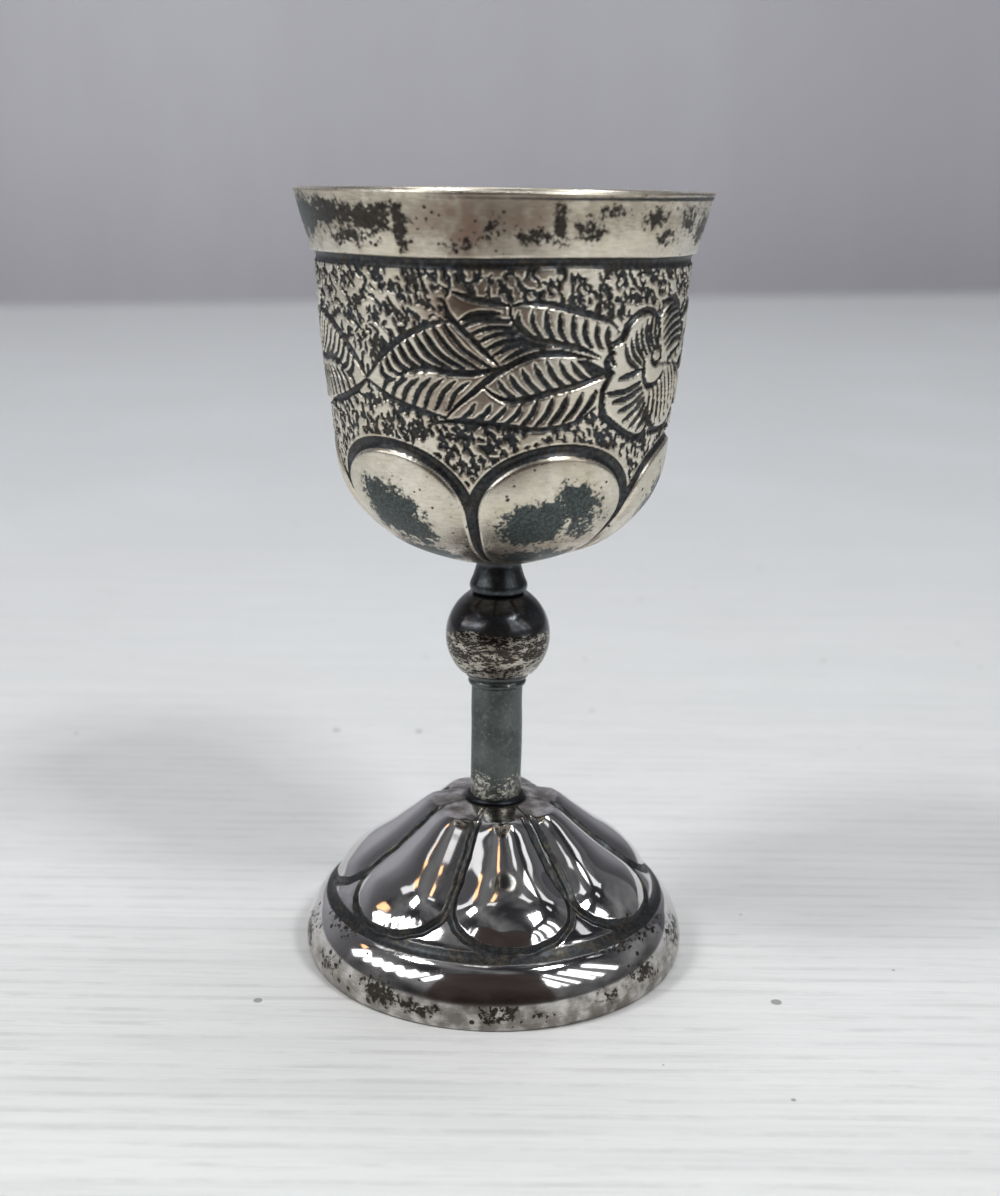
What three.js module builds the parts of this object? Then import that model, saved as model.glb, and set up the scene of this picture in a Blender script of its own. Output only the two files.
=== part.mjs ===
// A small chased-silver chalice that screws together: a cup with a threaded rod under it, a hollow
// stem in six pieces, a petalled foot with an edge ring, and a washer and nut inside the foot.
// Millimetres, +Z up. The origin is on the table, under the middle of the foot.
// Azimuths are in degrees from -Y (the front), growing towards +X.

import * as THREE from 'three';

// ---- Driving dimensions ----

const HEIGHT = 80;
const SHEET = 0.7;
const CLEARANCE = 0.02;

const RIM_RADIUS = 20.5;
const CUP_BASE_Z = 43;
const CUP_BASE_RADIUS = 2.3;
const LIP_GROOVE_Z = 73.7;
const LOBES = { count: 6, first: 20, straightZ: 50.5, roundZ: 57, grooveDepth: 0.45 };

const FOOT_RADIUS = 20.5;
const FOOT_EDGE_RADIUS = 20.2;
const PLATEAU_Z = 16.8;
const PETALS = { count: 7, first: 7.7, straightZ: 10.8, roundZ: 7.2, grooveDepth: 0.4 };

const GROOVE_HALF_WIDTH = 0.8;
const GROUND_DEPTH = 0.15;
const COLUMNS_PER_LOBE = 10;
const COLUMNS_PER_PETAL = 8;

const STEM_BORE = 1.7;
const TUBE_RADIUS = 2.73;
const TUBE_TOP_Z = 29.5;
const BASE_RING_RADIUS = 3.3;
const BASE_RING_HEIGHT = 0.5;
const NECK_TOP_Z = 31.2;
const NECK_TOP_RADIUS = 3.7;
const KNOP_RADIUS = 5.46;
const KNOP_SHEET = 0.8;
const KNOP_MIDDLE_Z = 34.9;
const KNOP_TOP_Z = 39.4;
const STEM_COLUMNS = 28;

const ROD_RADIUS = 1.5;
const ROD_END_Z = 10.4;
const ROD_CHAMFER = 0.3;
const WASHER_RADIUS = 4.6;
const WASHER_THICKNESS = 0.6;
const NUT_ACROSS_FLATS = 8;
const NUT_HEIGHT = 4;
const NUT_BORE = 1.58;
const EDGE_RING_INNER = 18.2;
const EDGE_RING_OUTER = 19.35;
const EDGE_RING_HEIGHT = 0.7;
const EDGE_RING_COLUMNS = 56;

// ---- Materials ----

function metal(color, roughness) {
  return new THREE.MeshStandardMaterial({ color, roughness, metalness: 1 });
}

function polishedSilver() {
  return metal(0xcfc9ba, 0.18);
}

function satinSilver() {
  return metal(0xbdb7a8, 0.32);
}

function oxidisedSilver() {
  return metal(0x5c6364, 0.42);
}

function agedBrass() {
  return metal(0xa08a55, 0.38);
}

// ---- Shape helpers ----

function point(radius, z) {
  return new THREE.Vector2(radius, z);
}

// Points along a smooth curve through the given outline points.
function smooth(points, divisions) {
  return new THREE.SplineCurve(points).getPoints(divisions);
}

// Points along an arc round a centre on the axis; angles in degrees up from the horizontal.
function arc(centreZ, radius, fromDegrees, toDegrees, divisions) {
  return Array.from({ length: divisions + 1 }, (_, i) => {
    const degrees = THREE.MathUtils.lerp(fromDegrees, toDegrees, i / divisions);
    const angle = THREE.MathUtils.degToRad(degrees);
    return point(radius * Math.cos(angle), centreZ + radius * Math.sin(angle));
  });
}

// The angle up from a sphere's middle at which its surface is at a height above that middle.
function latitude(height, radius) {
  return THREE.MathUtils.radToDeg(Math.asin(height / radius));
}

// Spins an outline about the Z axis. It runs up the outside, so that the faces point out.
function spin(outline, columns) {
  const geometry = new THREE.LatheGeometry(outline, columns);
  geometry.rotateX(Math.PI / 2);
  return geometry;
}

function spinRing(outline, columns) {
  return spin([...outline, outline[0]], columns);
}

// The unit normal of an outline at one of its points, on the right of its direction of travel.
function outlineNormal(outline, index) {
  const isEnd = index === 0 || index === outline.length - 1;
  const before = outline[Math.max(index - 1, 0)];
  const after = outline[Math.min(index + 1, outline.length - 1)];
  const along = after.clone().sub(before).normalize();
  return isEnd ? point(Math.round(along.y), -Math.round(along.x)) : point(along.y, -along.x);
}

// A shell of even sheet, spun from its outer outline. Both faces are pushed along the outline's
// normal by relief(azimuth, outline point), as chasing moves the front and back of a sheet alike.
function chasedShell(outline, columns, firstAzimuth, relief) {
  const outer = outline.map((p, i) => ({ p, normal: outlineNormal(outline, i), depth: 0 }));
  const inner = outer.map((row) => ({ ...row, depth: -SHEET })).reverse();
  const rows = [...outer, ...inner];
  const startsOnAxis = outline[0].x === 0;
  if (!startsOnAxis) {
    rows.push(outer[0]);
  }
  const geometry = new THREE.LatheGeometry(rows.map((row) => row.p), columns);
  const position = geometry.attributes.position;
  for (let i = 0; i < position.count; i += 1) {
    const { p, normal, depth } = rows[i % rows.length];
    const column = Math.floor(i / rows.length) % columns;
    const azimuth = firstAzimuth + (360 * column) / columns;
    const angle = THREE.MathUtils.degToRad(azimuth);
    const push = depth + relief(azimuth, p);
    const radius = p.x + push * normal.x;
    const z = p.y + push * normal.y;
    position.setXYZ(i, radius * Math.sin(angle), -radius * Math.cos(angle), z);
  }
  return geometry;
}

// Chased lobes or petals: side by side along the straight part, with a groove between them, and
// rounded off between straightZ and roundZ. Returns how far the surface sinks at a point.
function petalRelief({ count, first, straightZ, roundZ, grooveDepth }, azimuth, p) {
  const pitch = 360 / count;
  const nearest = Math.round((azimuth - first) / pitch);
  const offset = Math.abs(azimuth - first - nearest * pitch);
  const along = THREE.MathUtils.clamp((p.y - straightZ) / (roundZ - straightZ), 0, 1);
  const halfWidth = (pitch / 2) * Math.sqrt(1 - along * along);
  const margin = THREE.MathUtils.degToRad(halfWidth - offset) * p.x;
  if (Math.abs(margin) < GROOVE_HALF_WIDTH) {
    return -grooveDepth;
  }
  return margin < 0 ? -GROUND_DEPTH : 0;
}

// ---- Cup ----

function cupOutline() {
  const wall = [
    point(CUP_BASE_RADIUS, CUP_BASE_Z),
    point(6.6, 44.3),
    point(11.1, 46.25),
    point(14.1, 49),
    point(15.85, 52),
    point(16.9, 56.5),
    point(17.55, 61.4),
    point(18.1, 66.5),
    point(18.7, LIP_GROOVE_Z - 0.7),
  ];
  const lip = [
    point(18.45, LIP_GROOVE_Z),
    point(18.95, LIP_GROOVE_Z + 0.7),
    point(19.55, LIP_GROOVE_Z + 2.7),
    point(RIM_RADIUS, HEIGHT - 0.3),
    point(RIM_RADIUS, HEIGHT),
  ];
  return [point(0, CUP_BASE_Z), ...smooth(wall, 12), ...lip];
}

function cupRelief(azimuth, p) {
  const onLip = p.y > LIP_GROOVE_Z - 0.1;
  const onBase = p.x <= CUP_BASE_RADIUS;
  return onLip || onBase ? 0 : petalRelief(LOBES, azimuth, p);
}

function cup() {
  const columns = LOBES.count * COLUMNS_PER_LOBE;
  return chasedShell(cupOutline(), columns, LOBES.first, cupRelief);
}

// The rod is brazed to the underside of the cup and runs down through the stem and the foot.
function tieRod() {
  const length = CUP_BASE_Z - CLEARANCE - ROD_END_Z;
  return spin([
    point(0, 0),
    point(ROD_RADIUS - ROD_CHAMFER, 0),
    point(ROD_RADIUS, ROD_CHAMFER),
    point(ROD_RADIUS, length),
    point(0, length),
  ], STEM_COLUMNS);
}

// ---- Stem ----

function stemCollar() {
  const height = CUP_BASE_Z - KNOP_TOP_Z - 2 * CLEARANCE;
  return spinRing([
    point(STEM_BORE, 0),
    point(2.85, 0),
    point(3, 0.3),
    point(2.95, 0.9),
    point(2.8, 1.6),
    point(2.4, 2.7),
    point(2.3, height),
    point(STEM_BORE, height),
  ], STEM_COLUMNS);
}

function knopUpperShell() {
  const inside = KNOP_RADIUS - KNOP_SHEET;
  const rise = KNOP_TOP_Z - KNOP_MIDDLE_Z;
  const boreLatitude = THREE.MathUtils.radToDeg(Math.acos(STEM_BORE / inside));
  return spinRing([
    ...arc(0, KNOP_RADIUS, 0, latitude(rise, KNOP_RADIUS), 6),
    point(STEM_BORE, rise),
    ...arc(0, inside, boreLatitude, 0, 4),
  ], STEM_COLUMNS);
}

function knopLowerShell() {
  const inside = KNOP_RADIUS - KNOP_SHEET;
  const drop = NECK_TOP_Z - KNOP_MIDDLE_Z + CLEARANCE;
  const floor = drop + KNOP_SHEET;
  return spinRing([
    point(STEM_BORE, drop),
    ...arc(0, KNOP_RADIUS, latitude(drop, KNOP_RADIUS), 0, 5),
    ...arc(0, inside, 0, latitude(floor, inside), 4),
    point(STEM_BORE, floor),
  ], STEM_COLUMNS);
}

// Two small stepped rings under the knop, cast as one piece.
function neckRing() {
  const height = NECK_TOP_Z - TUBE_TOP_Z - CLEARANCE;
  return spinRing([
    point(STEM_BORE, 0),
    point(2.83, 0),
    point(3.08, 0.45),
    point(3, 0.85),
    point(3.35, 1.3),
    point(NECK_TOP_RADIUS, height),
    point(STEM_BORE, height),
  ], STEM_COLUMNS);
}

function stemTube() {
  const height = TUBE_TOP_Z - PLATEAU_Z - 2 * CLEARANCE;
  return spinRing([
    point(STEM_BORE, 0),
    point(TUBE_RADIUS, 0),
    point(TUBE_RADIUS, height),
    point(STEM_BORE, height),
  ], STEM_COLUMNS);
}

// The dark bevelled ring round the bottom of the tube.
function tubeBaseRing() {
  const bore = TUBE_RADIUS + 2 * CLEARANCE;
  return spinRing([
    point(bore, 0),
    point(BASE_RING_RADIUS, 0),
    point(BASE_RING_RADIUS - 0.1, 0.6 * BASE_RING_HEIGHT),
    point(bore, BASE_RING_HEIGHT),
  ], STEM_COLUMNS);
}

// ---- Foot ----

function footOutline() {
  const roll = [
    point(FOOT_RADIUS, 1.3),
    point(19.95, 3.8),
    point(18.6, 6),
    point(17.4, 7.15),
    point(15.1, 9.4),
    point(12.7, 11.2),
    point(9.7, 13.4),
    point(7.7, 15.15),
    point(6.5, 16.5),
    point(5.4, PLATEAU_Z),
  ];
  const edge = [point(FOOT_EDGE_RADIUS, 0), point(FOOT_EDGE_RADIUS, 0.3)];
  return [...edge, ...smooth(roll, 11), point(STEM_BORE, PLATEAU_Z)];
}

function footRelief(azimuth, p) {
  const onRoll = p.y < PETALS.roundZ - 0.6;
  const onPlateau = p.y > PLATEAU_Z - 0.5;
  return onRoll || onPlateau ? 0 : petalRelief(PETALS, azimuth, p);
}

function foot() {
  const columns = PETALS.count * COLUMNS_PER_PETAL;
  return chasedShell(footOutline(), columns, PETALS.first, footRelief);
}

function footEdgeRing() {
  return spinRing([
    point(EDGE_RING_INNER, 0),
    point(EDGE_RING_OUTER, 0),
    point(EDGE_RING_OUTER, EDGE_RING_HEIGHT),
    point(EDGE_RING_INNER, EDGE_RING_HEIGHT),
  ], EDGE_RING_COLUMNS);
}

// ---- Fastening ----

function footWasher() {
  return spinRing([
    point(STEM_BORE, 0),
    point(WASHER_RADIUS, 0),
    point(WASHER_RADIUS, WASHER_THICKNESS),
    point(STEM_BORE, WASHER_THICKNESS),
  ], STEM_COLUMNS);
}

function retainingNut() {
  const corner = NUT_ACROSS_FLATS / Math.sqrt(3);
  const hexagon = new THREE.Shape();
  for (let i = 0; i < 6; i += 1) {
    const angle = (i * Math.PI) / 3;
    hexagon[i === 0 ? 'moveTo' : 'lineTo'](corner * Math.cos(angle), corner * Math.sin(angle));
  }
  const bore = new THREE.Path();
  bore.absarc(0, 0, NUT_BORE, 0, 2 * Math.PI, true);
  hexagon.holes.push(bore);
  return new THREE.ExtrudeGeometry(hexagon, {
    depth: NUT_HEIGHT,
    bevelEnabled: false,
    curveSegments: STEM_COLUMNS,
  });
}

// ---- Assembly ----

function piece(name, geometry, material, z = 0) {
  const mesh = new THREE.Mesh(geometry, material);
  mesh.name = name;
  mesh.position.z = z;
  return mesh;
}

function group(...children) {
  const holder = new THREE.Group();
  holder.add(...children);
  return holder;
}

const washerZ = PLATEAU_Z - SHEET - CLEARANCE - WASHER_THICKNESS;
const nutZ = washerZ - CLEARANCE - NUT_HEIGHT;

const chalice = group(
  group(
    piece('bowl', cup(), polishedSilver()),
    piece('tie_rod', tieRod(), agedBrass(), ROD_END_Z),
  ),
  group(
    piece('stem_collar', stemCollar(), oxidisedSilver(), KNOP_TOP_Z + CLEARANCE),
    piece('knop_upper_shell', knopUpperShell(), polishedSilver(), KNOP_MIDDLE_Z),
    piece('knop_lower_shell', knopLowerShell(), polishedSilver(), KNOP_MIDDLE_Z - CLEARANCE),
    piece('neck_ring', neckRing(), oxidisedSilver(), TUBE_TOP_Z),
    piece('stem_tube', stemTube(), oxidisedSilver(), PLATEAU_Z + CLEARANCE),
    piece('tube_base_ring', tubeBaseRing(), oxidisedSilver(), PLATEAU_Z + CLEARANCE),
  ),
  group(
    piece('foot', foot(), polishedSilver()),
    piece('foot_edge_ring', footEdgeRing(), satinSilver()),
  ),
  group(
    piece('foot_washer', footWasher(), agedBrass(), washerZ),
    piece('retaining_nut', retainingNut(), agedBrass(), nutZ),
  ),
);
chalice.name = 'chalice';

export default chalice;
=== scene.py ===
"""Looks of the small chased-silver chalice, built round its CAD frame.

Outlines and ornament are drawn in millimetres and turned into metres when a mesh is made. An
azimuth is in degrees from -Y (the side that faces the camera), growing towards +X.
"""
import math

import bpy
import numpy as np
from mathutils import Matrix, Vector


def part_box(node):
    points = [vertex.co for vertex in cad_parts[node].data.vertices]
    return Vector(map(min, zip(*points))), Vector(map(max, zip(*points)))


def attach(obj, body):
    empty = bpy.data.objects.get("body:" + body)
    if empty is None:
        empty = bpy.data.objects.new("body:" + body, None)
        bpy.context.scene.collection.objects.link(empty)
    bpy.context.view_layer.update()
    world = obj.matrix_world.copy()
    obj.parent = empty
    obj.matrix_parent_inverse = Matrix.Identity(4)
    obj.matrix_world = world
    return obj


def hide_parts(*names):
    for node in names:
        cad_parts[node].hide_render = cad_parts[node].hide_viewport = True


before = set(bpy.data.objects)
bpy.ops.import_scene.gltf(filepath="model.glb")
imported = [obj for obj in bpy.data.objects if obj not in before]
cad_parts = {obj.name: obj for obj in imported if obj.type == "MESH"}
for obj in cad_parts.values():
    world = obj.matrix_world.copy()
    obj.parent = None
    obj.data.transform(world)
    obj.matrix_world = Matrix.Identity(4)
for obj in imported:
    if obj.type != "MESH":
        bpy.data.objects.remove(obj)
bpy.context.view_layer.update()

MM = 0.001
RNG = np.random.default_rng(20)


# ---- the frame's own sizes, in mm

def box_mm(node):
    low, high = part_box(node)
    return np.array(low) / MM, np.array(high) / MM


def heights(node):
    low, high = box_mm(node)
    return low[2], high[2]


def radius(node):
    return box_mm(node)[1][0]


CUP_BASE_Z, RIM_Z = heights("bowl")
RIM_R = radius("bowl")
PLATEAU_Z = heights("foot")[1]
FOOT_R = radius("foot")
TUBE_R = radius("stem_tube")
ROD_R = radius("tie_rod")
BORE_R = 1.7
SHEET = 0.7


# ---- curves and outlines

def catmull(points, per_span=8):
    """A smooth curve through the points."""
    p = np.asarray(points, float)
    p = np.vstack([2 * p[0] - p[1], p, 2 * p[-1] - p[-2]])
    t = np.linspace(0, 1, per_span, endpoint=False)[:, None]
    spans = []
    for a, b, c, d in zip(p, p[1:], p[2:], p[3:]):
        spans.append(0.5 * (2 * b + (c - a) * t + (2 * a - 5 * b + 4 * c - d) * t ** 2
                            + (3 * b - a - 3 * c + d) * t ** 3))
    return np.vstack(spans + [p[-2:-1]])


def length_along(curve):
    steps = np.hypot(*np.diff(curve, axis=0).T)
    return np.concatenate([[0], np.cumsum(steps)])


def resample(curve, spacing):
    """The same curve with evenly spaced points, about `spacing` apart."""
    along = length_along(curve)
    count = max(int(round(along[-1] / spacing)), 2)
    even = np.linspace(0, along[-1], count + 1)
    return np.column_stack([np.interp(even, along, curve[:, i]) for i in range(2)])


def rounded(points, fillet, steps=5):
    """A closed polygon with its corners rounded by quadratic curves of about that radius."""
    p = np.asarray(points, float)
    out = []
    for i, corner in enumerate(p):
        before, after = p[i - 1] - corner, p[(i + 1) % len(p)] - corner
        reach = [min(fillet, 0.45 * np.hypot(*side)) / np.hypot(*side) for side in (before, after)]
        start, end = corner + before * reach[0], corner + after * reach[1]
        for t in np.linspace(0, 1, steps + 1):
            out.append((1 - t) ** 2 * start + 2 * t * (1 - t) * corner + t * t * end)
    return np.array(out)


def arc(centre_z, r, from_degrees, to_degrees, count):
    angle = np.radians(np.linspace(from_degrees, to_degrees, count + 1))
    return np.column_stack([r * np.cos(angle), centre_z + r * np.sin(angle)])


def normals(curve, closed=False):
    """Unit normals on the right of the curve's direction: outwards for an outline that goes up."""
    if closed:
        along = np.roll(curve, -1, axis=0) - np.roll(curve, 1, axis=0)
    else:
        along = np.gradient(curve, axis=0)
    along /= np.hypot(*along.T)[:, None] + 1e-12
    return np.column_stack([along[:, 1], -along[:, 0]])


def smoothstep(low, high, value):
    t = np.clip((value - low) / (high - low), 0, 1)
    return t * t * (3 - 2 * t)


def trough(away, half, power=1.0):
    """A groove's section: 1 in its middle, 0 at `half` from there and beyond."""
    return np.clip(1 - (away / half) ** 2, 0, 1) ** power


def azimuths(columns):
    return np.arange(columns) * 360 / columns


# A lobe or petal is drawn by its offset in degrees from its middle and by a height along the wall.

def offset_from(azimuth, first, count):
    """Degrees from the middle of the nearest of `count` lobes, the first of them at `first`."""
    half = 180 / count
    return (azimuth - first + half) % (2 * half) - half


def round_end(half, shoulder, end, sweep, count):
    t = np.linspace(0, sweep, count)
    return np.column_stack([half * np.cos(t), shoulder + (end - shoulder) * np.sin(t)])


def within_end(offset, height, half, shoulder, end):
    share = np.clip((height - shoulder) / (end - shoulder), 0, 1)
    return np.abs(offset) < half * np.sqrt(1 - share ** 2)


def line_distance(offset, height, line, r):
    """Distance in mm to a line of (offset, height) points on a wall of radius r."""
    x = offset * np.radians(r)
    nearest = np.full(x.shape, np.inf)
    for a, b in zip(line, line[1:]):
        ax, bx = a[0] * np.radians(r), b[0] * np.radians(r)
        dx, dy = bx - ax, b[1] - a[1]
        t = np.clip(((x - ax) * dx + (height - a[1]) * dy) / (dx * dx + dy * dy + 1e-12), 0, 1)
        nearest = np.minimum(nearest, np.hypot(x - ax - t * dx, height - a[1] - t * dy))
    return nearest


# ---- meshes

def link(name, data):
    obj = bpy.data.objects.new(name, data)
    bpy.context.scene.collection.objects.link(obj)
    return obj


def add_object(name, vertices_mm, faces, attributes):
    mesh = bpy.data.meshes.new(name)
    mesh.from_pydata((vertices_mm * MM).tolist(), [], faces)
    for key, values in attributes.items():
        layer = mesh.attributes.new(key, "FLOAT", "POINT")
        layer.data.foreach_set("value", values.astype(np.float32))
    mesh.polygons.foreach_set("use_smooth", np.ones(len(mesh.polygons), bool))
    mesh.update()
    return link(name, mesh)


def grid_object(name, r, z, attributes=None, closed=True):
    """A skin round Z from the radius of each row and column and the height of each.

    The last row of a closed grid joins the first; an open grid starts and ends on the axis.
    """
    rows, columns = r.shape
    azimuth = np.radians(azimuths(columns))
    vertices = np.stack([r * np.sin(azimuth), -r * np.cos(azimuth), z + 0 * r], axis=-1).reshape(-1, 3)
    row = np.arange(rows if closed else rows - 1)[:, None]
    column = np.arange(columns)[None, :]
    above, right = (row + 1) % rows, (column + 1) % columns
    quads = np.stack([row * columns + column, row * columns + right,
                      above * columns + right, above * columns + column], axis=-1).reshape(-1, 4)
    values = {}
    for key, value in (attributes or {}).items():
        values[key] = np.broadcast_to(value, (rows, columns)).ravel()
    if closed:
        return add_object(name, vertices, quads.tolist(), values)

    # on the axis every column meets in one point
    keep = np.arange(rows * columns)
    keep[:columns] = 0
    keep[-columns:] = (rows - 1) * columns
    used, renumbered = np.unique(keep, return_inverse=True)
    faces = [list(dict.fromkeys(quad.tolist())) for quad in renumbered[quads]]
    return add_object(name, vertices[used], faces, {key: value[used] for key, value in values.items()})


def revolve(name, outline, push, attributes=None, closed=True):
    """Spins an outline of (radius, z) points about Z.

    push moves each point along the outline's normal: one value for each row and column.
    """
    n = normals(outline, closed)
    return grid_object(name, outline[:, :1] + push * n[:, :1], outline[:, 1:] + push * n[:, 1:],
                       attributes, closed)


def spread(values, shape, first=0, elsewhere=0.0):
    """An array with `values` in its rows from `first` on, and one value elsewhere."""
    whole = np.full(shape, elsewhere)
    whole[first:first + len(values)] = values
    return whole


# ---- chasing: drawing in relief

class Chasing:
    """A map of how deep the tools have cut, over azimuth (columns) and height (rows).

    cut is the depth in mm; plain is true where the surface stays smooth, without matting.
    """

    def __init__(self, columns, heights, radii):
        self.columns = columns
        self.azimuth = azimuths(columns)
        self.heights = heights
        self.radii = radii
        self.cut = np.zeros((len(heights), columns))
        self.plain = np.zeros((len(heights), columns), bool)

    def window(self, curve, margin):
        """Rows and columns near a curve of (azimuth, z), and the grid's coordinates in mm there,
        counted from the curve's first azimuth."""
        scale = math.radians(np.interp(curve[:, 1].mean(), self.heights, self.radii))
        low, high = curve.min(axis=0), curve.max(axis=0)
        rows = np.nonzero((self.heights > low[1] - margin) & (self.heights < high[1] + margin))[0]
        step = 360 / self.columns
        first = int(math.floor((low[0] - margin / scale) / step))
        last = int(math.ceil((high[0] + margin / scale) / step))
        index = np.arange(first, last + 1)
        x = (index * step - curve[0, 0]) * scale
        points = np.column_stack([(curve[:, 0] - curve[0, 0]) * scale, curve[:, 1]])
        gx, gz = np.meshgrid(x, self.heights[rows])
        return np.ix_(rows, index % self.columns), gx, gz, points

    def groove(self, points, half_width, depth, taper=(0.3, 0.3), per_span=6):
        """Cuts a round-bottomed line. taper is the width left at the start and the end."""
        where, gx, gz, line = self.window(catmull(points, per_span), half_width)
        if gx.size == 0:
            return
        nearest = np.full(gx.shape, np.inf)
        total = length_along(line)
        for i, (a, b) in enumerate(zip(line, line[1:])):
            d = b - a
            t = np.clip(((gx - a[0]) * d[0] + (gz - a[1]) * d[1]) / (d @ d + 1e-12), 0, 1)
            place = (total[i] + t * (total[i + 1] - total[i])) / (total[-1] + 1e-9)
            opening = taper[0] + (1 - taper[0]) * place * 4
            closing = taper[1] + (1 - taper[1]) * (1 - place) * 4
            width = half_width * np.minimum(1, np.minimum(opening, closing))
            nearest = np.minimum(nearest, np.hypot(gx - a[0] - t * d[0], gz - a[1] - t * d[1]) / width)
        self.cut[where] = np.maximum(self.cut[where], depth * trough(nearest, 1, 0.7))

    def leave_plain(self, points):
        """No matting inside this outline."""
        where, gx, gz, line = self.window(points, 0.1)
        inside = np.zeros(gx.shape, bool)
        for a, b in zip(line, np.roll(line, -1, axis=0)):
            crosses = (a[1] > gz) != (b[1] > gz)
            x_there = a[0] + (gz - a[1]) * (b[0] - a[0]) / (b[1] - a[1] + 1e-12)
            inside ^= crosses & (gx < x_there)
        self.plain[where] |= inside


# ---- the frieze's drawing, in mm
# x runs along the cup from the spray's tip to the flower's middle, y is up from the middle line.

FRIEZE_Z = 64.5
SPRAY_LENGTH = 31.1
LINE_HALF = 0.36
LINE_DEPTH = 0.42
HATCH_HALF = 0.29
HATCH_DEPTH = 0.3
MATTING_R = 18

SPRAY_OUTLINE = [
    (0, -1.5), (1.9, 0.6), (4.4, 2.5), (6.6, 3.6), (9.7, 4.3), (9.1, 5.8), (9.7, 6.9), (12.9, 6.1),
    (14.8, 5.8), (17.9, 6), (22.6, 4.9), (25.2, 3.7), (25.2, -0.5), (24.3, -3), (22, -4.9),
    (17.6, -5.6), (11.3, -4.9), (6.9, -5.4), (8.8, -4.6), (4.1, -3.6), (0.6, -2),
]
SPRAY_LINES = [
    # front leaf: upper and lower edge, midrib
    [(0.1, -1.4), (1.9, 0.5), (4.4, 2.4), (6.6, 3.5), (8.4, 4.1), (9.9, 4.2)],
    [(0.1, -1.6), (2.2, -2.8), (4.1, -3.5), (6, -4), (8.9, -4.5)],
    [(3.9, -1), (5.3, -0.4), (7.5, -0.1), (9.6, -0.4), (11.3, -0.4), (13.2, 0), (14.4, 0.4)],
    # the lines that part the front leaf from the ones behind it
    [(9.1, 5.8), (9.4, 4.9), (10.2, 3.8), (11.3, 2.8), (12.6, 1.5), (13.9, 0.4)],
    [(9, -4.4), (10, -3.4), (11.3, -2.3), (13.5, -0.5), (16.6, 1.2), (19.5, 1.5), (22.9, 0.9)],
    # plain leaf tip behind
    [(9.7, 6.8), (11.3, 6.3), (12.9, 6), (14.8, 5.7)],
    [(10.4, 4.3), (11.5, 4.8), (12.7, 5), (14, 5)],
    # upper back leaf
    [(14.8, 5.6), (16, 5.9), (17.9, 5.9), (20.1, 5.4), (22.6, 4.8), (24.5, 4.2), (25.2, 3.6)],
    [(14.8, 5.6), (15, 4.6), (15.7, 3.6), (17, 2.8), (18.8, 2.4), (21.4, 1.9), (23.4, 1.1)],
    # middle back leaf
    [(12.4, -1.5), (13.5, -2.3), (14.8, -2.8), (16.6, -2.6), (18.5, -2.1), (20.4, -1.7),
     (22.6, -1.1), (24.8, -0.6)],
    [(21.2, 0.8), (22.6, 0.3), (23.7, -0.2), (24.9, -0.7)],
    # lowest leaf
    [(6.9, -5.4), (8.8, -4.9), (11.3, -4.8), (14.1, -5.1), (17, -5.5), (19.5, -5.4), (22, -4.7),
     (23.5, -3.5)],
]
# hatching: count, curve of the starts, curve of the ends, how far the strokes bow sideways
SPRAY_HATCHING = [
    (9, [(2.2, 0), (4.2, 1.8), (6.3, 2.6), (9.2, 3.8)],
     [(3.3, -1.2), (6, -0.3), (9.2, 0.3), (12.7, 0.6)], -0.5),
    (7, [(3.6, -1.4), (5.6, -1.3), (8, -1.2), (11, -1.4)],
     [(2.2, -2.4), (4.4, -3.1), (6.4, -3.5), (9.4, -3.4)], -0.35),
    (6, [(10.6, 3.7), (11.3, 2.9), (12.3, 2), (14.6, 0.9)],
     [(14.2, 4.3), (15, 3.6), (16.2, 2.8), (18, 2)], 0.45),
    (8, [(15.6, 5), (18, 5.1), (20.9, 4.5), (24.2, 3.6)],
     [(16.4, 3.5), (19, 2.9), (22, 2.4), (24.7, 1.9)], -0.3),
    (8, [(14, -1.1), (16, -0.2), (18.5, 0.6), (22, 0.5)],
     [(15.2, -2.3), (18, -1.9), (20.6, -1.3), (23.7, -0.7)], -0.25),
    (9, [(11.6, -3.2), (14.6, -3.4), (18, -2.9), (23.2, -2.2)],
     [(10.6, -4.3), (13.6, -4.5), (17, -4.9), (21.8, -4.3)], 0.2),
]

# the flower: petals as outlines round its middle, in mm from the middle
FLOWER_PETALS = [
    [(-5.9, 0.3), (-6.5, 1.9), (-5.3, 2.5), (-4.6, 3.9), (-3.3, 4.8), (-1.7, 5), (-0.5, 4.3),
     (0.1, 2.9), (-0.2, 1.4)],
    [(-0.2, 4.3), (1, 5.7), (2.7, 5.9), (4.3, 4.7), (5.8, 2.6), (5, 1.2), (2.9, 0.6)],
    [(-6, -0.4), (-6.9, -1.7), (-7, -3), (-6.5, -4.4), (-5, -5.5), (-3.3, -6.4), (-1.6, -6.9),
     (-0.3, -6.2), (-0.2, -4.6)],
    [(-0.2, -4.8), (1.6, -6.5), (4.4, -6.3), (6.4, -4.6), (7.1, -2.2), (5, -0.5)],
    [(-6.1, 1.4), (-6.8, 0.5), (-6, -0.5)],
]
FLOWER_LINES = [
    [(-5.2, -1.1), (-3.6, -0.8), (-2.2, -0.4)],
    [(-2.5, 1.4), (-1.9, 0.2), (-1.8, -1), (-1, -2), (0.3, -2), (1.4, -1.2), (1.8, -0.4)],
]
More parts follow.
